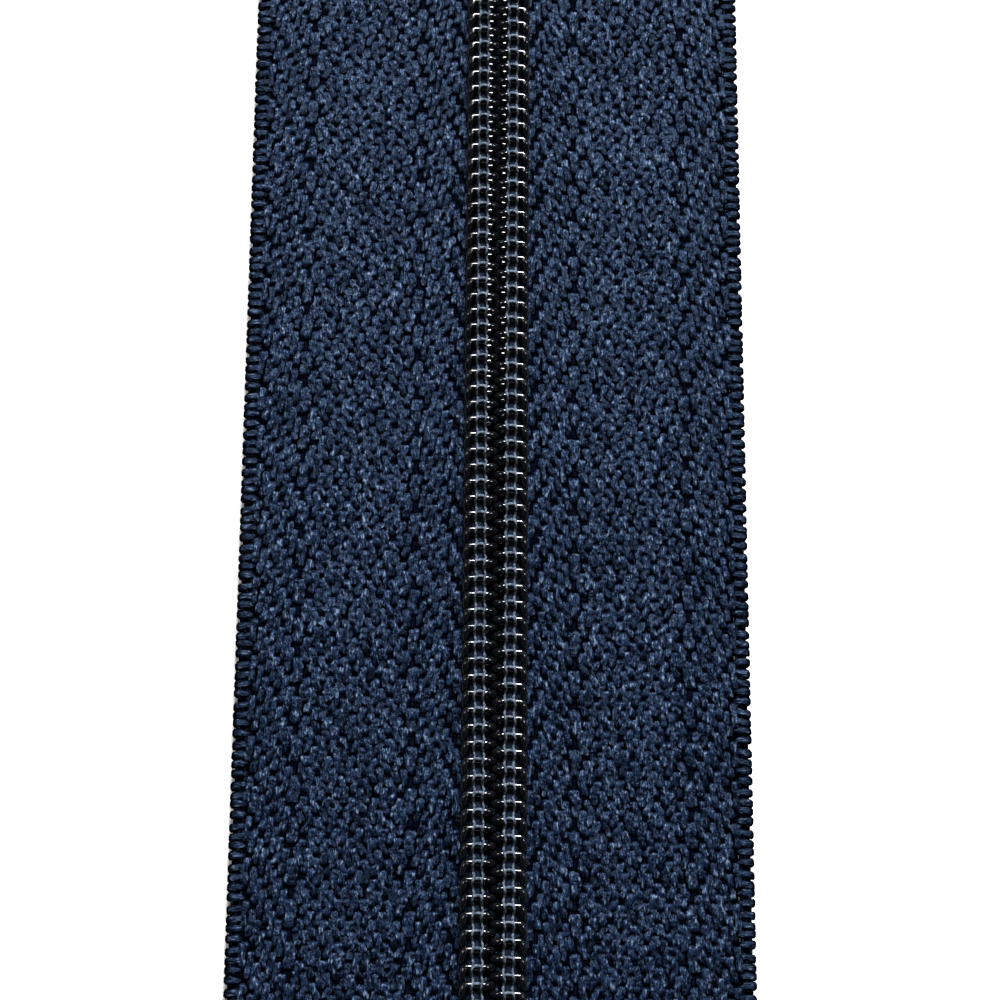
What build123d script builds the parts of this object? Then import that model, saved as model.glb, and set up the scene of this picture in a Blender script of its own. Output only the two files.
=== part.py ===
from build123d import *
import math
import os

# Closed-end zipper, size 3 nylon coil, shown closed with its slider at the top.
# Millimetres. X runs across the zipper, +Y along it towards the top end, +Z out of the coil face.
# The origin is the middle of the underside of the slider's lower wing, halfway along the tapes.

LEFT, RIGHT = -1, 1

# Tapes
TAPE_HALF_LENGTH = 65.0
TAPE_OUTER_X = 16.0
TAPE_INNER_X = 0.12
TAPE_BOTTOM_Z = 1.0
TAPE_THICKNESS = 0.55
CHAIN_ZONE_X = 5.0
CHAIN_ZONE_STEP = 0.04
TAPE_TOP_Z = TAPE_BOTTOM_Z + TAPE_THICKNESS

# Coils: one nylon monofilament per side, wound flat, the two meshed half a pitch apart
PITCH = 1.04
TURNS = 97
WIRE_RADIUS = 0.22
COIL_BOTTOM_Z = TAPE_TOP_Z + 0.02
COIL_HEIGHT = 1.44
HEAD_TIP_X = 0.21
HEEL_X = -2.06
HEEL_REACH = 0.45
FIRST_LEG_Y = -51.12
LOBE_HALF_WIDTH = 0.27
LOBE_DEPTH = 0.13
LOBE_HEIGHT = 0.56
WIRE_SIDES = 12
HEAD_STEPS = 6
HEEL_STEPS = 4
UPPER_LEG_Z = COIL_BOTTOM_Z + COIL_HEIGHT - WIRE_RADIUS
LOWER_LEG_Z = COIL_BOTTOM_Z + WIRE_RADIUS
COIL_MID_Z = (UPPER_LEG_Z + LOWER_LEG_Z) / 2
HEAD_RADIUS = (UPPER_LEG_Z - LOWER_LEG_Z) / 2
COIL_TOP_Z = COIL_BOTTOM_Z + COIL_HEIGHT

# Core cord inside each coil, needle threads over it, looper threads under the tape
CORD_WIDTH = 0.95
CORD_HEIGHT = 0.50
CORD_X = -1.05
THREAD_RADIUS = 0.075
INNER_SEAM_X = -0.66
OUTER_SEAM_X = -1.22
THREAD_CREST = WIRE_RADIUS + THREAD_RADIUS + 0.02
THREAD_DIP = 0.04
THREAD_SIDES = 8
STITCH_STEPS = 6
LOOPER_Z = TAPE_BOTTOM_Z - THREAD_RADIUS - 0.01

# The chain opens into a Y inside the slider: how far each side stands off, and where
SPREAD = 1.2
SPREAD_START_Y = 42.2
SPREAD_END_Y = 47.8
SPREAD_STEPS = 12
EDGE_SPREAD_START_Y = 34.0

# Slider
SLIDER_FRONT_Y = 48.4
SLIDER_LENGTH = 8.8
SLIDER_REAR_Y = SLIDER_FRONT_Y - SLIDER_LENGTH
LOWER_WING = 0.8
UPPER_WING_Z = 3.3
UPPER_WING = 0.8
UPPER_TOP_Z = UPPER_WING_Z + UPPER_WING
REAR_CHANNEL = 2.20
FRONT_CHANNEL = 3.42
FLANGE = 0.68
FLANGE_BOTTOM_Z = 1.78
POST_HALF_WIDTH = 0.8
POST_TIP_Y = 44.7
POST_TIP_HALF = 0.15
POST_MIDDLE_HALF = 0.58
POST_MIDDLE_Y = 46.2
POST_FULL_Y = 47.2
SHOULDER_Y = 47.2
BAR_Y = SLIDER_FRONT_Y - 4.6
BAR_Z = 4.62
BAR_RADIUS = 0.4
LOWER_WING_ROUNDING = 0.3
UPPER_WING_ROUNDING = 0.4
BAR_ROUNDING = 0.36
WINDOW_X = (-0.10, 0.64)
WINDOW_BEHIND = 0.52
WINDOW_AHEAD = 0.30
CROWN_REACH = 2.9
CROWN_LUG = 0.8
CROWN_HALF_WIDTH = 0.95
CROWN_ROOF_Z = 5.82
CROWN_TOP_Z = 6.3
CROWN_ROUNDING = 0.45
PIN_SLOT_DEPTH = 0.5
PIN_SLOT_PLAY = 0.03
PIN_SLOT_LIFT = 0.25
PIN_SEAT = 0.42
PIN_LEG_X = -0.02
PIN_THICKNESS = 0.28
PIN_UNDER_Z = 5.08
PIN_HALF_WIDTH = 0.53
CLAW_Y_STEP = 0.36
CLAW_X = 0.40
CLAW_WIDTH = 0.26
CLAW_TIP_Z = 2.84
CLAW_TURN = 90

# Pull tab
PULL_REACH = 18.0
PULL_THICKNESS = 0.8
EYE_HALF_WIDTH = 1.25
EYE_REACH = 3.45
EYE_ARM = 0.9
PULL_NECK_HALF = 1.55
PULL_END_HALF = 2.6
EYE_BRIDGE = 0.6
NECK_START = 5.85
NECK_END = 8.0
END_START = 15.0
END_CORNER_REACH = 16.6
END_FLAT_HALF = 1.4
PLATE_ROUNDING = 0.35
PULL_HOLE_RADIUS = 1.2
PULL_HOLE_REACH = 15.2

# Stops
BOTTOM_STOP_LOW_Y = -51.6
BOTTOM_STOP_HIGH_Y = -49.3
TOP_STOP_LOW_Y = 48.55
TOP_STOP_HIGH_Y = 50.95
STOP_ROOF_Z = 3.30
STOP_METAL = 0.45
STOP_FLOOR_Z = 0.36
STAPLE_LEG_OUT = 2.65
STAPLE_LEG_IN = 2.22
STAPLE_FOLD_END = 0.5
STAPLE_SHOULDER = 0.35
LEG_PLAY = 0.06
CLIP_GAP = 0.04
CLIP_REACH = 0.55
CLIP_ROUNDING = 0.3


def eased(y, start, end):
    """A smooth step from 0 at start to 1 at end."""
    t = min(max((y - start) / (end - start), 0.0), 1.0)
    return t * t * (3 - 2 * t)


def spread_at(y):
    """Sideways stand-off of a coil and the tape under it, which open inside the slider."""
    return SPREAD * eased(y, SPREAD_START_Y, SPREAD_END_Y)


def left_edge(x, y_low, y_high):
    """Points of a left-hand line at distance x that follows the spreading chain."""
    step = (SPREAD_END_Y - SPREAD_START_Y) / SPREAD_STEPS
    ys = [y_low] + [SPREAD_START_Y + step * i for i in range(SPREAD_STEPS + 1)] + [y_high]
    return [(x - spread_at(y), y) for y in ys]


def left_selvedge():
    """Points of the left tape's outer edge, which leans out gently towards the top end."""
    step = (TAPE_HALF_LENGTH - EDGE_SPREAD_START_Y) / SPREAD_STEPS
    ys = [-TAPE_HALF_LENGTH] + [EDGE_SPREAD_START_Y + step * i for i in range(SPREAD_STEPS + 1)]
    lean = [SPREAD * eased(y, EDGE_SPREAD_START_Y, TAPE_HALF_LENGTH) for y in ys]
    return [(-TAPE_OUTER_X - out, y) for out, y in zip(lean, ys)]


def slab(points, z_low, z_high):
    """A flat plate with the given outline."""
    with BuildSketch(Plane.XY.offset(z_low)) as outline:
        with BuildLine():
            Polyline(*points, close=True)
        make_face()
    return extrude(outline.sketch, z_high - z_low)


def block(x_low, x_high, y_low, y_high, z_low, z_high):
    """A plain box between two corners."""
    box = Box(x_high - x_low, y_high - y_low, z_high - z_low)
    return Pos((x_low + x_high) / 2, (y_low + y_high) / 2, (z_low + z_high) / 2) * box


def left_tape():
    """Woven tape of the left stringer: a little thicker where it carries the coil."""
    inner = left_edge(-TAPE_INNER_X, -TAPE_HALF_LENGTH, TAPE_HALF_LENGTH)
    zone = left_edge(-CHAIN_ZONE_X, -TAPE_HALF_LENGTH, TAPE_HALF_LENGTH)
    tape = slab(inner + left_selvedge()[::-1], TAPE_BOTTOM_Z, TAPE_TOP_Z - CHAIN_ZONE_STEP)
    tape += slab(inner + zone[::-1], TAPE_BOTTOM_Z, TAPE_TOP_Z)
    leg_hole = block(-STAPLE_LEG_OUT - LEG_PLAY, -STAPLE_LEG_IN + LEG_PLAY,
                     BOTTOM_STOP_LOW_Y - LEG_PLAY, BOTTOM_STOP_HIGH_Y + LEG_PLAY,
                     0, TAPE_TOP_Z + 1)
    return tape - leg_hole


def strand(points, radius, sides, facing):
    """A closed rod of even-sided section along straight runs between points."""
    section = Plane(origin=points[0], z_dir=facing) * RegularPolygon(radius, sides)
    return sweep(section, path=Polyline(*points), transition=Transition.RIGHT)


def coil_turn(step):
    """One turn: upper leg, round head, lower leg, and the heel that climbs one pitch.

    step is how much further out the next turn stands where the chain opens.
    """
    heel = HEEL_X + HEEL_REACH
    head_x = HEAD_TIP_X - WIRE_RADIUS - HEAD_RADIUS
    points = [(heel, 0, UPPER_LEG_Z)]
    for i in range(HEAD_STEPS + 1):
        angle = math.pi * (0.5 - i / HEAD_STEPS)
        points.append((head_x + HEAD_RADIUS * math.cos(angle), 0,
                       COIL_MID_Z + HEAD_RADIUS * math.sin(angle)))
    points.append((heel, 0, LOWER_LEG_Z))
    for i in range(1, HEEL_STEPS + 1):
        t = i / HEEL_STEPS
        out = (HEEL_REACH - WIRE_RADIUS) * math.sin(math.pi * t)
        points.append((heel - out - step * t, PITCH * t,
                       COIL_MID_Z - HEAD_RADIUS * math.cos(math.pi * t)))
    turn = strand(points, WIRE_RADIUS, WIRE_SIDES, (1, 0, 0))
    lobe = extrude(Ellipse(LOBE_DEPTH, LOBE_HALF_WIDTH), LOBE_HEIGHT / 2, both=True)
    return turn + Pos(HEAD_TIP_X - LOBE_DEPTH, 0, COIL_MID_Z) * lobe


def stitch(step):
    """One stitch of needle thread, from the crest over one leg to the crest over the next."""
    points = []
    for i in range(STITCH_STEPS + 1):
        t = i / STITCH_STEPS
        height = THREAD_DIP + (THREAD_CREST - THREAD_DIP) * (0.5 + 0.5 * math.cos(2 * math.pi * t))
        points.append((-step * t, PITCH * t, UPPER_LEG_Z + height))
    return strand(points, THREAD_RADIUS, THREAD_SIDES, (0, 1, 0))


def back_stitch(step):
    """One stitch of looper thread, lying flat on the back of the tape."""
    points = [(0, 0, LOOPER_Z), (-step, PITCH, LOOPER_Z)]
    return strand(points, THREAD_RADIUS, THREAD_SIDES, (0, 1, 0))


def handed(shape, side):
    """A left-hand shape as it is, or its right-hand twin."""
    return shape if side == LEFT else mirror(shape, Plane.YZ)


def repeated(unit, x, side, count):
    """Copies of a unit, one per pitch, that follow the stringer where the chain opens.

    The right side starts half a pitch later, so that the two coils mesh.
    """
    plain = handed(unit(0), side)
    phase = 0 if side == LEFT else PITCH / 2
    copies = []
    for i in range(count):
        y = FIRST_LEG_Y + phase + i * PITCH
        step = spread_at(y + PITCH) - spread_at(y)
        copy = handed(unit(step), side) if step > 0 else plain
        copies.append(Pos(-side * (x - spread_at(y)), y, 0) * copy)
    return Compound(children=copies)


def coil(side):
    """The nylon coil of one stringer."""
    return repeated(coil_turn, 0, side, TURNS)


def needle_thread(x, side):
    """A row of stitches laid over every upper leg of a coil."""
    return repeated(stitch, x, side, TURNS - 1)


def looper_thread(x, side):
    """Thread on the back of the tape that locks the needle thread's stitches."""
    return repeated(back_stitch, x, side, TURNS - 1)


def left_ribbon(x, half_width, z_low, z_high, y_low, y_high):
    """A cord of flat section that follows the stringer."""
    inner = left_edge(x + half_width, y_low, y_high)
    outer = left_edge(x - half_width, y_low, y_high)
    return slab(inner + outer[::-1], z_low, z_high)


def left_core_cord():
    """Filler cord that runs inside the coil between its upper and lower legs."""
    z_low = COIL_MID_Z - CORD_HEIGHT / 2
    return left_ribbon(CORD_X, CORD_WIDTH / 2, z_low, z_low + CORD_HEIGHT, -51.6, 50.6)


def left_top_stop():
    """Metal clip crimped round the top end of the left coil and the tape's edge."""
    open_x = HEEL_X - CLIP_REACH - SPREAD
    inner_x = HEAD_TIP_X + CLIP_GAP - SPREAD
    y_low, y_high = TOP_STOP_LOW_Y, TOP_STOP_HIGH_Y
    floor_top = STOP_FLOOR_Z + STOP_METAL
    roof = block(open_x, inner_x + STOP_METAL, y_low, y_high, STOP_ROOF_Z, STOP_ROOF_Z + STOP_METAL)
    wall = block(inner_x, inner_x + STOP_METAL, y_low, y_high, STOP_FLOOR_Z, STOP_ROOF_Z)
    floor = block(open_x, inner_x, y_low, y_high, STOP_FLOOR_Z, floor_top)
    clip = roof + wall + floor
    long_edges = clip.edges().filter_by(Axis.Y)
    outer = [e for e in long_edges if e.center().X > inner_x + STOP_METAL / 2]
    return fillet(outer, CLIP_ROUNDING)


def bottom_stop():
    """Metal staple over both coils; its legs pass through the tapes and fold in behind."""
    y_low, y_high = BOTTOM_STOP_LOW_Y, BOTTOM_STOP_HIGH_Y
    legs_z = (STOP_FLOOR_Z, STOP_ROOF_Z)
    fold_z = (STOP_FLOOR_Z, STOP_FLOOR_Z + STOP_METAL)
    staple = block(-STAPLE_LEG_OUT, STAPLE_LEG_OUT, y_low, y_high,
                   STOP_ROOF_Z, STOP_ROOF_Z + STOP_METAL)
    staple += block(-STAPLE_LEG_OUT, -STAPLE_LEG_IN, y_low, y_high, *legs_z)
    staple += block(STAPLE_LEG_IN, STAPLE_LEG_OUT, y_low, y_high, *legs_z)
    staple += block(-STAPLE_LEG_IN, -STAPLE_FOLD_END, y_low, y_high, *fold_z)
    staple += block(STAPLE_FOLD_END, STAPLE_LEG_IN, y_low, y_high, *fold_z)
    shoulders = staple.edges().filter_by(Axis.Y).sort_by(Axis.Z)[-2:]
    return fillet(shoulders, STAPLE_SHOULDER)


def wing_outline(rear_half, front_half):
    """Shield outline of a slider wing, narrow at the rear mouth, wide at the front."""
    right = [(rear_half - 0.35, SLIDER_REAR_Y), (rear_half, SLIDER_REAR_Y + 0.5),
             (rear_half, SPREAD_START_Y), (front_half, SHOULDER_Y),
             (front_half - 0.25, SLIDER_FRONT_Y - 0.35), (front_half - 1.1, SLIDER_FRONT_Y)]
    return right + [(-x, y) for x, y in right[::-1]]


def channel_outline():
    """Room for the chain between the flanges, open at both mouths."""
    right = [(REAR_CHANNEL, SLIDER_REAR_Y - 1), (REAR_CHANNEL, SPREAD_START_Y),
             (FRONT_CHANNEL, SHOULDER_Y), (FRONT_CHANNEL, SLIDER_FRONT_Y + 1)]
    return right + [(-x, y) for x, y in right[::-1]]


def divider_post():
    """Wedge between the two front mouths that joins the wings and parts the coils."""
    right = [(POST_TIP_HALF, POST_TIP_Y), (POST_MIDDLE_HALF, POST_MIDDLE_Y),
             (POST_HALF_WIDTH, POST_FULL_Y), (POST_HALF_WIDTH, SLIDER_FRONT_Y)]
    outline = right + [(-x, y) for x, y in right[::-1]]
    return slab(outline, LOWER_WING / 2, UPPER_WING_Z + UPPER_WING / 2)


def claw_y():
    """The claw stands in the gap between two turns of the right coil."""
    return FIRST_LEG_Y + CLAW_TURN * PITCH


def slider_body():
    """Die-cast slider: lower wing, upper wing with flanges, divider post, pin window."""
    rear = REAR_CHANNEL + FLANGE
    front = FRONT_CHANNEL + FLANGE
    lower = slab(wing_outline(rear, front), 0, LOWER_WING)
    lower = fillet(lower.faces().sort_by(Axis.Z)[0].edges(), LOWER_WING_ROUNDING)
    upper = slab(wing_outline(rear, front), FLANGE_BOTTOM_Z, UPPER_TOP_Z)
    upper = fillet(upper.faces().sort_by(Axis.Z)[-1].edges(), UPPER_WING_ROUNDING)
    upper -= slab(channel_outline(), FLANGE_BOTTOM_Z - 1, UPPER_WING_Z)
    body = lower + upper + divider_post()
    window = block(*WINDOW_X, claw_y() - WINDOW_BEHIND, claw_y() + WINDOW_AHEAD,
                   UPPER_WING_Z - 0.2, UPPER_TOP_Z + 1)
    return body - window


def slider_crown():
    """Bridge over the pull tab's bar: two lugs on the upper wing and an arched roof."""
    low, high = BAR_Y - CROWN_REACH, BAR_Y + CROWN_REACH
    w = CROWN_HALF_WIDTH
    roof = block(-w, w, low, high, UPPER_TOP_Z, CROWN_TOP_Z)
    tunnel = block(-w - 1, w + 1, low + CROWN_LUG, high - CROWN_LUG, UPPER_TOP_Z - 1, CROWN_ROOF_Z)
    crown = roof - tunnel
    corners = [e for e in crown.edges().filter_by(Axis.X) if e.center().Z > CROWN_TOP_Z - 0.01]
    crown = fillet(corners, CROWN_ROUNDING)
    slot_half = PIN_HALF_WIDTH + PIN_SLOT_PLAY
    slot_y = high - CROWN_LUG
    slot = block(-slot_half, slot_half, slot_y - 0.1, slot_y + PIN_SLOT_DEPTH,
                 PIN_UNDER_Z - PIN_SLOT_PLAY, PIN_UNDER_Z + PIN_THICKNESS + PIN_SLOT_LIFT)
    return crown - slot


def lock_pin():
    """Sprung locking pin: a strip over the pull's bar, bent down to a claw in the coil."""
    front = BAR_Y + CROWN_REACH - CROWN_LUG + PIN_SEAT
    w = PIN_HALF_WIDTH
    y_claw = claw_y()
    low, high = y_claw - CLAW_Y_STEP / 2, y_claw + CLAW_Y_STEP / 2
    strip = block(-w, w, low, front, PIN_UNDER_Z, PIN_UNDER_Z + PIN_THICKNESS)
    shoulder_z = UPPER_WING_Z + 0.1
    leg = block(PIN_LEG_X, w, low, high, shoulder_z, PIN_UNDER_Z)
    claw = block(CLAW_X - CLAW_WIDTH / 2, CLAW_X + CLAW_WIDTH / 2, low, high,
                 CLAW_TIP_Z, shoulder_z)
    return strip + leg + claw


def pull_tab():
    """Flat pull: a bar held under the crown, an eye that clears it, a tongue with a hole."""
    z_low = BAR_Z - PULL_THICKNESS / 2
    arm = EYE_HALF_WIDTH + EYE_ARM
    right = [(arm, -BAR_RADIUS), (arm, EYE_REACH + EYE_BRIDGE), (PULL_NECK_HALF, NECK_START),
             (PULL_NECK_HALF, NECK_END), (PULL_END_HALF, END_START),
             (PULL_END_HALF, END_CORNER_REACH), (END_FLAT_HALF, PULL_REACH)]
    outline = right + [(-x, y) for x, y in right[::-1]]
    plate = slab([(x, BAR_Y + y) for x, y in outline], z_low, z_low + PULL_THICKNESS)
    plate = fillet(plate.edges().filter_by(Axis.Z), PLATE_ROUNDING)
    eye = block(-EYE_HALF_WIDTH, EYE_HALF_WIDTH, BAR_Y + BAR_RADIUS, BAR_Y + EYE_REACH, 0, 9)
    hole = Pos(0, BAR_Y + PULL_HOLE_REACH, BAR_Z) * Cylinder(PULL_HOLE_RADIUS, 4)
    plate = plate - eye - hole
    bar_edges = [e for e in plate.edges().filter_by(Axis.X)
                 if abs(e.center().Y - BAR_Y) < BAR_RADIUS + 0.05]
    return fillet(bar_edges, BAR_ROUNDING)


pieces = {
    "bottom_stop": bottom_stop(),
    "slider_body": slider_body(),
    "slider_crown": slider_crown(),
    "lock_pin": lock_pin(),
    "pull_tab": pull_tab(),
}
for name, side in (("left", LEFT), ("right", RIGHT)):
    pieces[f"{name}_tape"] = handed(left_tape(), side)
    pieces[f"{name}_coil"] = coil(side)
    pieces[f"{name}_core_cord"] = handed(left_core_cord(), side)
    pieces[f"{name}_inner_thread"] = needle_thread(INNER_SEAM_X, side)
    pieces[f"{name}_outer_thread"] = needle_thread(OUTER_SEAM_X, side)
    pieces[f"{name}_inner_looper"] = looper_thread(INNER_SEAM_X, side)
    pieces[f"{name}_outer_looper"] = looper_thread(OUTER_SEAM_X, side)
    pieces[f"{name}_top_stop"] = handed(left_top_stop(), side)

os.makedirs("parts", exist_ok=True)
for name, shape in pieces.items():
    shape.label = name
    export_step(shape, f"parts/{name}.step")
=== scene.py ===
import math

import bpy
import numpy as np
from mathutils import Matrix, Vector


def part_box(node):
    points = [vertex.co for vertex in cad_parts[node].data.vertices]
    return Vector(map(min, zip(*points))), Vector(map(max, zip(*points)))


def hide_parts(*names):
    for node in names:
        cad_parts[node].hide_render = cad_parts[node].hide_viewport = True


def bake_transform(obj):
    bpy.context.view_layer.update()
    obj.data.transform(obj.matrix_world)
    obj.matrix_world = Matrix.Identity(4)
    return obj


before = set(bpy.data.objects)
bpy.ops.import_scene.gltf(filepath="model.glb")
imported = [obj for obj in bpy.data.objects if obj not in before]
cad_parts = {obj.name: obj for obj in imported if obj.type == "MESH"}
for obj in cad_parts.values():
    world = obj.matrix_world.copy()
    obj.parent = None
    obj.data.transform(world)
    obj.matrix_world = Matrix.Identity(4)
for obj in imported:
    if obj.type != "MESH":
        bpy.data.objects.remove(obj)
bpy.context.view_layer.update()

# All shapes are worked out in millimetres for the left half (x below 0) and mirrored for the right.
MM = 0.001
LEFT, RIGHT = -1, 1
rng = np.random.default_rng(7)


def box_mm(node):
    """Lowest and highest corner of a CAD node in millimetres."""
    low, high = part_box(node)
    return np.array(low) / MM, np.array(high) / MM


tape_low, tape_high = box_mm("left_tape")
coil_low, coil_high = box_mm("left_coil")
cord_low, cord_high = box_mm("left_core_cord")
stop_low, stop_high = box_mm("bottom_stop")

# Tape and weave
TAPE_END = tape_high[1]
TAPE_TOP = tape_high[2]
TAPE_MID = (tape_low[2] + tape_high[2]) / 2
TAPE_EDGE = 16.0
TAPE_INNER = -tape_high[0]
PICK = 0.625
REPEAT = 4 * PICK
YARN_HALF_HEIGHT = 0.135
CRIMP = TAPE_TOP - TAPE_MID - YARN_HALF_HEIGHT
RINGS_PER_REPEAT = 18
YARN_SIDES = 6

# Coil, threads and cord
PITCH = 1.04
TURNS = 97
WIRE = 0.22
LOBE = 0.27
FIRST_LEG = coil_low[1] + LOBE
COIL_TOP, COIL_BOTTOM = coil_high[2], coil_low[2]
COIL_MID = (COIL_TOP + COIL_BOTTOM) / 2
HEAD_TIP = 0.21
HEEL = -2.06
LEG_END = HEEL + 0.45
NECK_X = -0.22
NECK_DEPTH = 0.035
THREAD = 0.08
ROW_X = (-0.66, -1.22)
LEG_POINTS, ARC_POINTS, CLIMB_POINTS = 5, 15, 12
POINTS_PER_STITCH = 14
CORD_MIDDLE = -1.05
CORD_HALF_WIDTH, CORD_HALF_HEIGHT = 0.47, 0.24

# The chain opens into a Y inside the slider, and the outer edges lean out after it
SPREAD = -tape_low[0] - TAPE_EDGE
SPREAD_FROM, SPREAD_TO = 42.2, 47.8
EDGE_SPREAD_FROM = 34.0
CHAIN_SIDE = 2.6


def eased(y, start, end):
    """A smooth step from 0 at start to 1 at end."""
    t = np.clip((y - start) / (end - start), 0, 1)
    return t * t * (3 - 2 * t)


def stand_off(x, y):
    """How far outwards the stringer stands at (x, y): the chain inside the slider, the edge gently."""
    share = np.clip((np.abs(x) - CHAIN_SIDE) / (TAPE_EDGE - CHAIN_SIDE), 0, 1)
    chain = eased(y, SPREAD_FROM, SPREAD_TO)
    edge = eased(y, EDGE_SPREAD_FROM, TAPE_END)
    return SPREAD * ((1 - share) * chain + share * edge)


# ---------------------------------------------------------------- mesh building


def mesh_object(name, verts, quads, material):
    """A smooth mesh object from vertices in millimetres and quads."""
    mesh = bpy.data.meshes.new(name)
    mesh.vertices.add(len(verts))
    mesh.vertices.foreach_set("co", (verts * MM).astype(np.float32).ravel())
    mesh.loops.add(quads.size)
    mesh.loops.foreach_set("vertex_index", quads.astype(np.int32).ravel())
    mesh.polygons.add(len(quads))
    mesh.polygons.foreach_set("loop_start", np.arange(0, quads.size, 4, dtype=np.int32))
    mesh.update(calc_edges=True)
    mesh.polygons.foreach_set("use_smooth", np.ones(len(quads), bool))
    mesh.materials.append(material)
    obj = bpy.data.objects.new(name, mesh)
    bpy.context.scene.collection.objects.link(obj)
    return obj


def tubes(centres, across, up, sides, uneven=0.0, boxy=1.0):
    """Closed-off tubes: an ellipse spanned by two half-axes round every centre point.

    The arrays are (tubes, points, 3); the end rings are drawn in to close the tube.
    uneven is how much the surface wanders in and out, as a share of its half-axes; boxy below 1
    flattens the sides.
    """
    count, rings = centres.shape[:2]
    shrink = np.ones((rings, 1))
    shrink[0] = shrink[-1] = 0.02
    turn = np.arange(sides)[:, None] * 2 * np.pi / sides
    a, u = (across * shrink)[:, :, None], (up * shrink)[:, :, None]
    loose = 1 + rng.normal(0, uneven, (count, rings, sides, 1))
    cos = np.sign(np.cos(turn)) * np.abs(np.cos(turn)) ** boxy
    sin = np.sign(np.sin(turn)) * np.abs(np.sin(turn)) ** boxy
    verts = centres[:, :, None] + (cos * a + sin * u) * loose
    ring = np.arange(rings - 1)[:, None] * sides
    side = np.arange(sides)[None]
    after = (side + 1) % sides
    quad = np.stack([ring + side, ring + after, ring + sides + after, ring + sides + side], -1)
    start = np.arange(count)[:, None, None, None] * rings * sides
    return verts.reshape(-1, 3), (quad[None] + start).reshape(-1, 4)


def joined(parts):
    """Several (vertices, quads) pairs as one."""
    verts, quads, start = [], [], 0
    for v, q in parts:
        verts.append(v)
        quads.append(q + start)
        start += len(v)
    return np.concatenate(verts), np.concatenate(quads)


def placed(verts, quads, side):
    """Left-hand shapes moved out with the opening chain, mirrored for the right side."""
    verts = verts.copy()
    verts[:, 0] -= stand_off(verts[:, 0], verts[:, 1])
    if side == RIGHT:
        verts[:, 0] *= -1
        quads = quads[:, ::-1]
    return verts, quads


def wire(path, half_y, half_n, sides):
    """A tube along one path whose section keeps one axis close to Y."""
    tangent = np.gradient(path, axis=0)
    tangent /= np.linalg.norm(tangent, axis=1)[:, None]
    y_axis = np.array([0.0, 1.0, 0.0]) - tangent * tangent[:, 1:2]
    y_axis /= np.linalg.norm(y_axis, axis=1)[:, None]
    normal = np.cross(tangent, y_axis)
    across, up = y_axis * half_y[:, None], normal * half_n[:, None]
    return tubes(path[None], across[None], up[None], sides)


def side_name(side):
    return "left" if side == LEFT else "right"


def stringer_piece(name, shape, side, material, replaces=()):
    """A soft piece of one stringer: it stays with the chain below and opens above."""
    prefix = side_name(side)
    verts, quads = placed(*shape, side)
    obj = mesh_object(f"{prefix}_{name}", verts, quads, material)
    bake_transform(obj)
    for node in replaces:
        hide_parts(f"{prefix}_{node}")
    return obj


# ---------------------------------------------------------------- materials


def shader(name):
    """A new material, its node tree and its Principled shader."""
    material = bpy.data.materials.new(name)
    material.use_nodes = True
    tree = material.node_tree
    return material, tree, tree.nodes["Principled BSDF"]


def noise(tree, scale, stretch=(1, 1, 1), detail=2.0, roughness=0.5):
    """Noise in object space; stretch multiplies the scale along each axis."""
    coords = tree.nodes.new("ShaderNodeTexCoord")
    mapping = tree.nodes.new("ShaderNodeMapping")
    mapping.inputs["Scale"].default_value = stretch
    texture = tree.nodes.new("ShaderNodeTexNoise")
    texture.inputs["Scale"].default_value = scale
    texture.inputs["Detail"].default_value = detail
    texture.inputs["Roughness"].default_value = roughness
    tree.links.new(coords.outputs["Object"], mapping.inputs["Vector"])
    tree.links.new(mapping.outputs["Vector"], texture.inputs["Vector"])
    return texture.outputs["Fac"]


def ramp(tree, factor, low, high, start=0.3, end=0.7, peak=None):
    """A colour ramp between two colours, and on to a third a little further up if there is one."""
    node = tree.nodes.new("ShaderNodeValToRGB")
    stops = node.color_ramp.elements
    stops[0].position = start
    stops[0].color = (*low, 1)
    stops[1].position = end
    stops[1].color = (*high, 1)
    if peak:
        stops.new(end + 0.10).color = (*peak, 1)
    tree.links.new(factor, node.inputs["Fac"])
    return node.outputs["Color"]


def bumped(tree, principled, heights):
    """Chains bump nodes, one for each (factor, distance in metres)."""
    normal = None
    for factor, distance in heights:
        bump = tree.nodes.new("ShaderNodeBump")
        bump.inputs["Strength"].default_value = 1.0
        bump.inputs["Distance"].default_value = distance
        tree.links.new(factor, bump.inputs["Height"])
        if normal:
            tree.links.new(normal, bump.inputs["Normal"])
        normal = bump.outputs["Normal"]
    tree.links.new(normal, principled.inputs["Normal"])


def by_depth(tree, depth, deep, high):
    """A number that rises from deep near the tape's middle plane to high near either face; the yarns
    use it for painted shade in the gaps.
    """
    coords = tree.nodes.new("ShaderNodeTexCoord")
    split = tree.nodes.new("ShaderNodeSeparateXYZ")
    above = tree.nodes.new("ShaderNodeMath")
    above.operation = "SUBTRACT"
    above.inputs[1].default_value = TAPE_MID * MM
    away = tree.nodes.new("ShaderNodeMath")
    away.operation = "ABSOLUTE"
    reach = tree.nodes.new("ShaderNodeMapRange")
    reach.inputs["From Min"].default_value = depth[0] * MM
    reach.inputs["From Max"].default_value = depth[1] * MM
    reach.inputs["To Min"].default_value = deep
    reach.inputs["To Max"].default_value = high
    tree.links.new(coords.outputs["Object"], split.inputs["Vector"])
    tree.links.new(split.outputs["Z"], above.inputs[0])
    tree.links.new(above.outputs["Value"], away.inputs[0])
    tree.links.new(away.outputs["Value"], reach.inputs["Value"])
    return reach.outputs["Result"]


def scaled(tree, colour, factor):
    """A colour multiplied by a number."""
    node = tree.nodes.new("ShaderNodeVectorMath")
    node.operation = "SCALE"
    tree.links.new(colour, node.inputs[0])
    tree.links.new(factor, node.inputs["Scale"])
    return node.outputs["Vector"]


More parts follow.
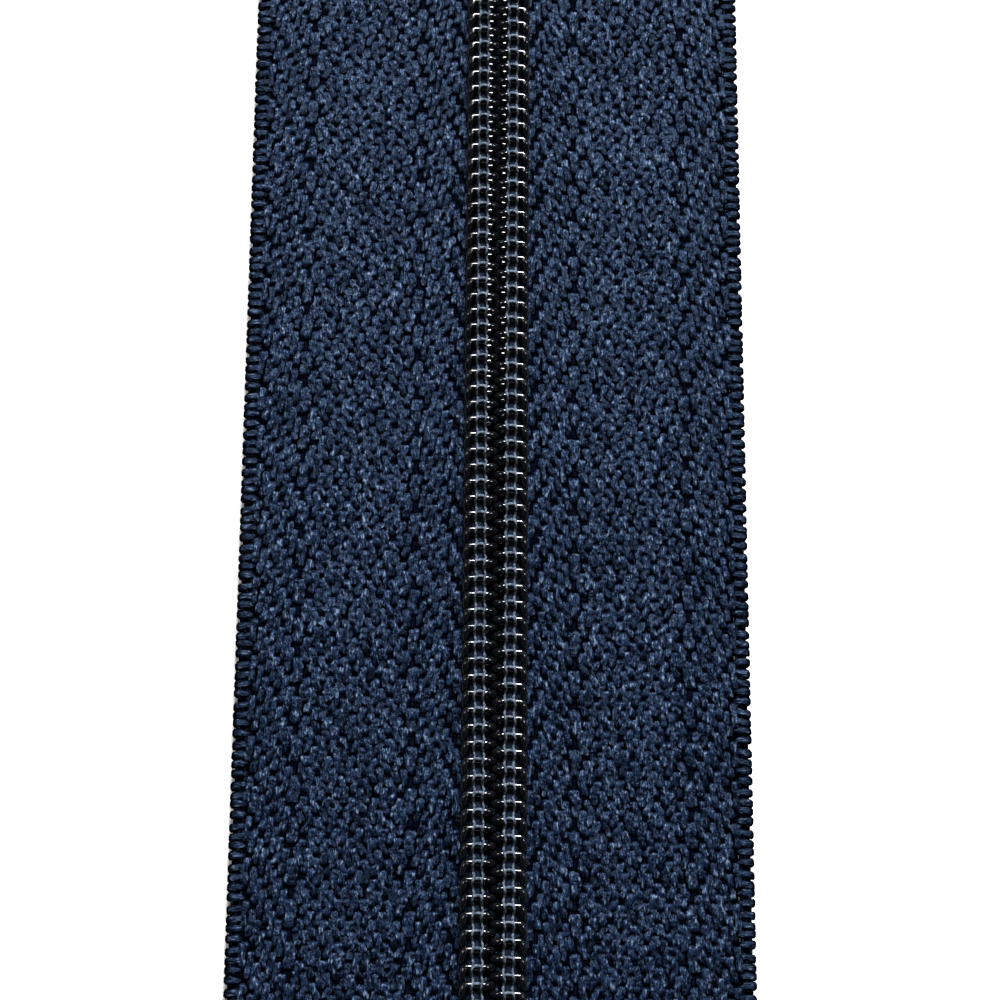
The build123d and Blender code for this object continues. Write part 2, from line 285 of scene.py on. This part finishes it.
def yarn_material(name, dark, light, painted_glint=None, along_y=True, rough=0.5, shine=0.5, depth=None):
    """Textured filament yarn: crinkled fibres along its length with random tone, painted shade between
    them and painted glints; a depth adds painted shade towards the middle plane.
    """
    material, tree, principled = shader(name)
    fibres = noise(tree, 9000, (1.0, 0.3, 1.0) if along_y else (0.3, 1.0, 1.0), detail=2.0)
    crinkle = noise(tree, 4200, (1.0, 0.6, 1.0) if along_y else (0.6, 1.0, 1.0), detail=2.0)
    blend = tree.nodes.new("ShaderNodeMix")
    blend.inputs["Factor"].default_value = 0.5
    tree.links.new(fibres, blend.inputs["A"])
    tree.links.new(crinkle, blend.inputs["B"])
    # Painted light in the colour: the dark end stands for shade between fibres and the third stop is a
    # painted highlight (glint).
    colour = ramp(tree, blend.outputs["Result"], dark, light, 0.42, 0.57, painted_glint)
    principled.inputs["Roughness"].default_value = rough
    principled.inputs["Specular IOR Level"].default_value = shine
    principled.inputs["Specular Tint"].default_value = (0.42, 0.62, 1.0, 1)
    if depth:
        # Painted shade: darker towards the tape's middle plane, where the gaps between yarns are in
        # shade; the specular level fades with it.
        colour = scaled(tree, colour, by_depth(tree, depth, 0.04, 1.0))
        tree.links.new(by_depth(tree, depth, 0.0, shine), principled.inputs["Specular IOR Level"])
    tree.links.new(colour, principled.inputs["Base Color"])
    bumped(tree, principled, [(crinkle, 0.00012), (fibres, 0.00010)])
    return material


def nylon_material():
    """Black monofilament: glossy, with faint drawing marks and a little haze."""
    material, tree, principled = shader("coil_nylon")
    marks = noise(tree, 5000, (0.2, 1, 1), detail=3.0)
    colour = ramp(tree, marks, (0.0012, 0.0014, 0.002), (0.003, 0.0035, 0.005))
    haze = ramp(tree, marks, (0.10,) * 3, (0.17,) * 3)
    tree.links.new(colour, principled.inputs["Base Color"])
    tree.links.new(haze, principled.inputs["Roughness"])
    bumped(tree, principled, [(marks, 0.000004)])
    return material


def metal_material(name, dark, light, rough, metallic=1.0, grain=0.000003):
    """Metal or enamel with uneven polish and a fine cast grain."""
    material, tree, principled = shader(name)
    wear = noise(tree, 900, detail=4.0, roughness=0.6)
    fine = noise(tree, 9000, detail=2.0)
    tree.links.new(ramp(tree, wear, dark, light), principled.inputs["Base Color"])
    polish = ramp(tree, wear, (rough,) * 3, (rough * 1.7,) * 3)
    tree.links.new(polish, principled.inputs["Roughness"])
    principled.inputs["Metallic"].default_value = metallic
    bumped(tree, principled, [(fine, grain)])
    return material


# Depths in mm from the tape's middle plane over which the yarn colour goes from painted shade to full
# colour.
WEAVE_SHADE_DEPTH = (0.17, TAPE_TOP - TAPE_MID - 0.01)
WARP = yarn_material("warp_yarn", (0.0001, 0.0005, 0.0030), (0.0075, 0.0165, 0.042),
                     painted_glint=(0.125, 0.170, 0.250), rough=0.30, shine=0.20, depth=WEAVE_SHADE_DEPTH)
WEFT = yarn_material("weft_yarn", (0.0001, 0.0005, 0.0030), (0.007, 0.0155, 0.039),
                     painted_glint=(0.095, 0.130, 0.190), along_y=False, rough=0.36, shine=0.15,
                     depth=WEAVE_SHADE_DEPTH)
# Painted shade: the ground sheet is near-black and matte so the gaps between the yarns read as shade.
GROUND_SHADE = yarn_material("tape_ground_shade", (0.001, 0.0015, 0.004), (0.002, 0.003, 0.008), rough=1.0,
                       shine=0.0)
CORD = yarn_material("core_cord", (0.001, 0.002, 0.005), (0.006, 0.009, 0.018), rough=0.8,
                     shine=0.2)
THREAD_YARN = yarn_material("sewing_thread", (0.020, 0.027, 0.038), (0.120, 0.145, 0.180))
NYLON = nylon_material()
ENAMEL = metal_material("slider_enamel", (0.010, 0.016, 0.036), (0.016, 0.026, 0.054), 0.42,
                        metallic=0.0)
ALUMINIUM = metal_material("stop_aluminium", (0.42, 0.43, 0.45), (0.56, 0.57, 0.59), 0.45)
STEEL = metal_material("pin_steel", (0.38, 0.38, 0.40), (0.52, 0.52, 0.54), 0.35)


# ---------------------------------------------------------------- woven tape

# Bands of the weave from the coil outwards: from, to, number of ends, order of lifts.
# A straight order makes a twill that climbs outwards, a broken one a brick-like ground.
STRAIGHT = (0, 1, 2, 3)
BROKEN = (0, 1, 3, 2)
BANDS = (
    (0.16, 2.08, 6, STRAIGHT),
    (2.12, 2.46, 1, STRAIGHT),
    (2.60, 5.00, 8, STRAIGHT),
    (5.00, 12.20, 20, BROKEN),
    (12.20, 15.00, 9, STRAIGHT),
)
FLOAT_HALF = 0.31
DIVE_HALF = 0.10
FLOAT_SHARE = 0.70
LEAN = 0.12
USUAL_END_PITCH = 0.33

# How the ends stray from that plan: the spacing of the strays along a yarn, and their size
STRAY_PHASE = (1.9, 0.025)
STRAY_HEIGHT = (0.7, 0.018)
STRAY_SIDEWAYS = (0.6, 0.025)
STRAY_WIDTH = (0.5, 0.10)
FLOAT_TILT = 0.03
PINCH_DROP, PINCH_WIDTH = 0.055, 0.14

# Weft and selvedge
WEFT_HALF = 0.11
WEFT_REACH = (TAPE_INNER, 2.6, 6.0, 10.0, 14.6, 14.95, 15.2, 15.45, 15.7, 15.87,
              15.93, 15.87, 15.7, 15.45, 15.2, 14.95, 14.6)
WEFT_LEVEL = (0, 0, 0, 0, 0, 0.5, 1, 1, 0.95, 0.55,
              0, -0.55, -0.95, -1, -1, -0.5, 0)
HOOK_FROM = 14.9
HOOK_SLANT = (0.02, -0.16)
SELVEDGE_ENDS = ((-15.18, 0), (-15.42, 2), (-15.66, 1))
SELVEDGE_HALF_WIDTH = 0.13
SELVEDGE_LIFT = 0.6

# Ground between the yarns
GROUND_HALF = 0.085
GROUND_ROWS, GROUND_COLUMNS = 131, 24


def lift(share):
    """Height of an end between -1 and 1 at a share of its repeat, counted from a float's middle."""
    share = np.abs((share + 0.5) % 1 - 0.5)
    half = FLOAT_SHARE / 2
    return 1 - 2 * eased(share, half - 0.06, half + 0.06)


def wander(count, y, step, size):
    """Slow random variation along each of several yarns."""
    knots = np.arange(y[0], y[-1] + step, step)
    values = rng.normal(0, size, (count, len(knots)))
    return np.stack([np.interp(y, knots, row) for row in values])


def warp_band(start, stop, count, order, first):
    """The warp ends of one band: plump floats in two lumps, pushed aside by their neighbours."""
    pitch = (stop - start) / count
    index = np.arange(count)
    x = -(start + pitch * (index + 0.5))[:, None]
    phase = np.array(order)[(first + index) % 4][:, None] / 4
    y = np.linspace(-TAPE_END, TAPE_END, int(2 * TAPE_END / REPEAT * RINGS_PER_REPEAT) + 1)
    share = y[None] / REPEAT - phase + wander(count, y, *STRAY_PHASE)
    height = lift(share)
    padded = np.pad(height, ((1, 1), (0, 0)), constant_values=-1)
    push = LEAN * (padded[2:] - padded[:-2]) / 2
    middle = (share + 0.5) % 1 - 0.5
    pinch = np.exp(-((middle + 0.02) / 0.035) ** 2)
    tilt = FLOAT_TILT * np.clip(middle / 0.2, -1, 1)
    level = TAPE_MID + CRIMP * height + tilt - PINCH_DROP * pinch
    level += wander(count, y, *STRAY_HEIGHT)
    drift = wander(count, y, *STRAY_SIDEWAYS)
    centres = np.stack([x + push + drift, np.broadcast_to(y, share.shape), level], -1)
    half = DIVE_HALF + (FLOAT_HALF * pitch / USUAL_END_PITCH - DIVE_HALF) * (height + 1) / 2
    half = half * (1 - PINCH_WIDTH * pinch) * (1 + wander(count, y, *STRAY_WIDTH))
    across = half[..., None] * np.array([1.0, 0, 0])
    up = np.full(half.shape + (1,), YARN_HALF_HEIGHT) * np.array([0, 0, 1.0])
    return tubes(centres, across, up, YARN_SIDES, 0.06, 0.75)


def weft_picks():
    """Every pick of the weft: straight through the tape, looped round the outer edge."""
    reach = np.array(WEFT_REACH)
    level = np.array(WEFT_LEVEL) * (TAPE_TOP - TAPE_MID - WEFT_HALF)
    y = np.arange(-TAPE_END + PICK / 2, TAPE_END, PICK)
    hook = np.clip(reach - HOOK_FROM, 0, 1)
    slant = np.where(np.arange(len(y)) % 4 < 2, *HOOK_SLANT) + rng.normal(0, 0.03, len(y))
    yy = y[:, None] + slant[:, None] * hook
    xx = np.broadcast_to(-reach, yy.shape)
    zz = np.broadcast_to(TAPE_MID + level, yy.shape)
    centres = np.stack([xx, yy, zz], -1)
    plump = 0.10 + 0.17 * np.clip((reach - 14.8) / 0.5, 0, 1)
    across = np.broadcast_to(plump[:, None] * np.array([0, 1.0, 0]), centres.shape)
    vertical = np.gradient(level)
    along = -np.gradient(reach)
    size = np.hypot(vertical, along)
    up = np.stack([-vertical / size, 0 * size, along / size], -1) * WEFT_HALF
    return tubes(centres, across, np.broadcast_to(up, centres.shape), YARN_SIDES, 0.08)


def selvedge_ends():
    """The outermost warp ends, held down under the weft loops."""
    y = np.linspace(-TAPE_END, TAPE_END, 417)
    shapes = []
    for x, phase in SELVEDGE_ENDS:
        height = SELVEDGE_LIFT * lift(y / REPEAT - phase / 4)
        centres = np.stack([np.full_like(y, x), y, TAPE_MID + CRIMP * height], -1)[None]
        across = np.broadcast_to([SELVEDGE_HALF_WIDTH, 0, 0], centres.shape)
        up = np.broadcast_to([0, 0, WEFT_HALF], centres.shape)
        shapes.append(tubes(centres, across, up, YARN_SIDES))
    return joined(shapes)


def ground_sheet():
    """Thin dense layer in the middle of the tape that closes the gaps between the yarns, coloured as
    their painted shade.
    """
    y = np.linspace(-TAPE_END + 0.1, TAPE_END - 0.1, GROUND_ROWS)
    x = -np.linspace(TAPE_INNER + 0.05, TAPE_EDGE - 1.1, GROUND_COLUMNS)
    loop = [(a, GROUND_HALF) for a in x] + [(a, -GROUND_HALF) for a in x[::-1]]
    rings = len(y)
    verts = np.array([(a, b, TAPE_MID + c) for b in y for a, c in loop])
    sides = len(loop)
    ring = np.arange(rings - 1)[:, None] * sides
    side = np.arange(sides)[None]
    after = (side + 1) % sides
    quads = np.stack([ring + side, ring + after, ring + sides + after, ring + sides + side], -1)
    return verts, quads.reshape(-1, 4)


def build_tape(side):
    """One woven tape: ground, warp bands, weft and selvedge."""
    first = 0
    for number, band in enumerate(BANDS, start=1):
        shape = warp_band(*band, first)
        stringer_piece(f"tape_warp_{number}", shape, side, WARP)
        first += band[2]
    stringer_piece("tape_weft", weft_picks(), side, WEFT)
    stringer_piece("tape_selvedge", selvedge_ends(), side, WARP)
    ground = stringer_piece("tape_ground_shade", ground_sheet(), side, GROUND_SHADE, ["tape"])


# ---------------------------------------------------------------- coil and sewing


def turn_points():
    """One turn of the coil from the start of the upper leg: (x, y, z), head share, neck share."""
    upper, lower = COIL_TOP - WIRE, COIL_BOTTOM + WIRE
    radius = (upper - lower) / 2
    head_x = HEAD_TIP - WIRE - radius
    leg = np.linspace(LEG_END, head_x, LEG_POINTS + 1)[:-1]
    arc = np.linspace(np.pi / 2, -np.pi / 2, ARC_POINTS)
    cos, sin = np.cos(arc), np.sin(arc)
    round_x = head_x + radius * np.abs(cos) ** 0.7
    round_z = COIL_MID + radius * np.sign(sin) * np.abs(sin) ** 0.7
    climb = np.linspace(0, 1, CLIMB_POINTS + 2)[1:-1]
    rise = np.pi * np.clip(climb / 0.7, 0, 1)
    x = np.concatenate([leg, round_x, leg[::-1],
                        LEG_END - (LEG_END - HEEL - WIRE) * np.sin(np.pi * climb)])
    z = np.concatenate([np.full(LEG_POINTS, upper), round_z, np.full(LEG_POINTS, lower),
                        COIL_MID - radius * np.cos(rise)])
    before, after = np.zeros(LEG_POINTS), np.zeros(LEG_POINTS + CLIMB_POINTS)
    level = np.zeros(2 * LEG_POINTS + ARC_POINTS)
    y = np.concatenate([level, PITCH * eased(climb, 0.1, 1.0)])
    head = np.concatenate([before, cos ** 2, after])
    neck = np.concatenate([before, np.exp(-((round_x - NECK_X) / 0.07) ** 2), after])
    return np.stack([x, y, z], -1), head, neck


def coil_shape(phase):
    """The whole monofilament: turns with heads pressed wide so that they lock."""
    turn, head, neck = turn_points()
    steps = (FIRST_LEG + phase + PITCH * np.arange(TURNS))[:, None, None] * np.array([0, 1.0, 0])
    path = (turn[None] + steps).reshape(-1, 3)
    half_y = WIRE + (LOBE - WIRE) * np.tile(head, TURNS)
    half_n = WIRE - NECK_DEPTH * np.tile(neck, TURNS)
    return wire(path, half_y, half_n, 12)


def stitched(x, phase, crest, dip, radius):
    """A row of stitches: a twisted thread that arches over each leg and dips between legs."""
    count = (TURNS - 1) * POINTS_PER_STITCH
    step = np.arange(count + 1) / POINTS_PER_STITCH
    y = FIRST_LEG + phase + PITCH * step
    arch = np.cos(2 * np.pi * step)
    z = dip + (crest - dip) * (0.5 + 0.5 * arch) ** 0.8
    sway = 0.05 * np.sin(2 * np.pi * step)
    path = np.stack([x + sway, y, z], -1)
    tangent = np.gradient(path, axis=0)
    tangent /= np.linalg.norm(tangent, axis=1)[:, None]
    x_axis = np.array([1.0, 0, 0]) - tangent * tangent[:, :1]
    normal = np.cross(tangent, x_axis)
    twist = 2 * np.pi * step * 1.5
    cos, sin = np.cos(twist)[:, None], np.sin(twist)[:, None]
    across = (x_axis * cos + normal * sin) * radius * 1.18
    up = (normal * cos - x_axis * sin) * radius * 0.82
    return tubes(path[None], across[None], up[None], 8)


def crossings(phase, radius):
    """Where the needle thread crosses from row to row: a low arch over the top of every leg."""
    legs = (FIRST_LEG + phase + PITCH * np.arange(TURNS - 1))[:, None]
    u = np.linspace(-1, 1, 11)
    middle, reach = (ROW_X[0] + ROW_X[1]) / 2, (ROW_X[0] - ROW_X[1]) / 2 + 0.04
    bulge = rng.normal(1, 0.15, legs.shape)
    x = np.broadcast_to(middle + reach * u, (TURNS - 1, len(u)))
    y = legs + 0.07 * bulge * (1 - u ** 2) - 0.10 * u ** 8
    z = COIL_TOP + radius * 0.7 - 0.12 * u ** 6 + 0 * legs
    centres = np.stack([x, y, z], -1)
    loose = 1 + rng.normal(0, 0.10, x.shape)[..., None]
    across = loose * radius * 1.15 * np.array([0, 1.0, 0])
    up = loose * radius * 0.8 * np.array([0, 0, 1.0])
    return tubes(centres, across, up, 8)


def cord_shape():
    """Core cord inside the coil: flat, twisted, slightly uneven."""
    y = np.arange(cord_low[1], cord_high[1], 0.2)
    z = (cord_low[2] + cord_high[2]) / 2
    centres = np.stack([np.full_like(y, CORD_MIDDLE), y, np.full_like(y, z)], -1)[None]
    lumps = 1 + 0.05 * np.sin(2 * np.pi * y / 0.9)[None, :, None]
    across = lumps * np.array([CORD_HALF_WIDTH, 0, 0])
    up = lumps * np.array([0, 0, CORD_HALF_HEIGHT])
    return tubes(centres, across, up, 16)


def build_chain_side(side):
    """Coil, core cord and sewing threads of one stringer."""
    phase = 0 if side == LEFT else PITCH / 2
    stringer_piece("nylon_coil", coil_shape(phase), side, NYLON, ["coil"])
    stringer_piece("coil_cord", cord_shape(), side, CORD, ["core_cord"])
    crest = COIL_TOP + THREAD
    dip = COIL_TOP - 2 * WIRE - 0.02
    back = tape_low[2] - THREAD
    for row, x in zip(("inner", "outer"), ROW_X):
        needle = stitched(x, phase, crest, dip, THREAD)
        if row == "outer":
            needle = joined([needle, crossings(phase, THREAD)])
        stringer_piece(f"{row}_needle_stitches", needle, side, THREAD_YARN, [f"{row}_thread"])
        looper = stitched(x, phase, back, back + 0.06, THREAD)
        stringer_piece(f"{row}_looper_stitches", looper, side, THREAD_YARN, [f"{row}_looper"])


# ---------------------------------------------------------------- metal parts


def dress(node, material):
    """Gives a CAD node its detailed material."""
    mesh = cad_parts[node].data
    mesh.materials.clear()
    mesh.materials.append(material)


def dress_metal_parts():
    """Slider, pull and stops keep their CAD shapes."""
    for node in ("slider_body", "slider_crown", "pull_tab"):
        dress(node, ENAMEL)
    for node in ("bottom_stop", "left_top_stop", "right_top_stop"):
        dress(node, ALUMINIUM)
    dress("lock_pin", STEEL)


# ---------------------------------------------------------------- camera, light and floor

KEY_PLACE = (0.05, 0.45, 0.60)
LEFT_GLINT_PLACE = (-0.30, 0.12, 0.50)
RIGHT_GLINT_PLACE = (0.32, 0.12, 0.50)
SURROUND_STRENGTH = 0.03
FLOOR_SIZE = 3.0
FLOOR_DROP = 0.00005
CAMERA_ELEVATION = math.radians(73.75)
CAMERA_SIDEWAYS = math.radians(2.48)
CAMERA_DISTANCE = 0.1631
CAMERA_VIEW = math.radians(21.92)
CAMERA_ROLL = math.radians(9.51)
CAMERA_AIM = Vector((0.00032, -0.0020, TAPE_TOP * MM))


def look_at(obj, place, aim, roll=0.0):
    """Puts a camera or light at a place, facing a point."""
    turn = (aim - place).to_track_quat("-Z", "Y").to_matrix().to_4x4()
    obj.matrix_world = Matrix.Translation(place) @ turn @ Matrix.Rotation(roll, 4, "Z")


def add_camera():
    camera = bpy.data.objects.new("camera", bpy.data.cameras.new("camera"))
    camera.data.angle = CAMERA_VIEW
    camera.data.clip_start = 0.01
    away = Vector((-math.tan(CAMERA_SIDEWAYS), -math.cos(CAMERA_ELEVATION),
                   math.sin(CAMERA_ELEVATION))).normalized()
    look_at(camera, CAMERA_AIM + CAMERA_DISTANCE * away, CAMERA_AIM, CAMERA_ROLL)
    bpy.context.scene.collection.objects.link(camera)
    bpy.context.scene.camera = camera


def add_area(name, place, size, power):
    """A square soft light that faces the object."""
    light = bpy.data.lights.new(name, "AREA")
    light.size = size
    light.energy = power
    obj = bpy.data.objects.new(name, light)
    look_at(obj, Vector(place), Vector((0, 0, 0)))
    bpy.context.scene.collection.objects.link(obj)


def add_floor():
    """Plain pale floor under the object."""
    bpy.ops.mesh.primitive_plane_add(size=FLOOR_SIZE, location=(0, 0, -FLOOR_DROP))
    floor = bpy.context.object
    floor.name = "floor"
    material, tree, principled = shader("floor")
    tone = ramp(tree, noise(tree, 40), (0.90, 0.90, 0.90), (0.93, 0.93, 0.93))
    tree.links.new(tone, principled.inputs["Base Color"])
    principled.inputs["Roughness"].default_value = 0.9
    principled.inputs["Specular IOR Level"].default_value = 0.1
    floor.data.materials.append(material)


def add_lights():
    """A soft key from beyond the top end, a small light on each side and a faint surround."""
    world = bpy.data.worlds.new("studio")
    world.use_nodes = True
    background = world.node_tree.nodes["Background"]
    background.inputs["Color"].default_value = (1, 1, 1, 1)
    background.inputs["Strength"].default_value = SURROUND_STRENGTH
    bpy.context.scene.world = world
    add_area("key", KEY_PLACE, 0.16, 13.0)
    add_area("left_glint", LEFT_GLINT_PLACE, 0.10, 0.8)
    add_area("right_glint", RIGHT_GLINT_PLACE, 0.10, 1.2)


bpy.context.scene.view_settings.view_transform = "Standard"
add_camera()
add_lights()
add_floor()
for which in (LEFT, RIGHT):
    build_tape(which)
    build_chain_side(which)
dress_metal_parts()
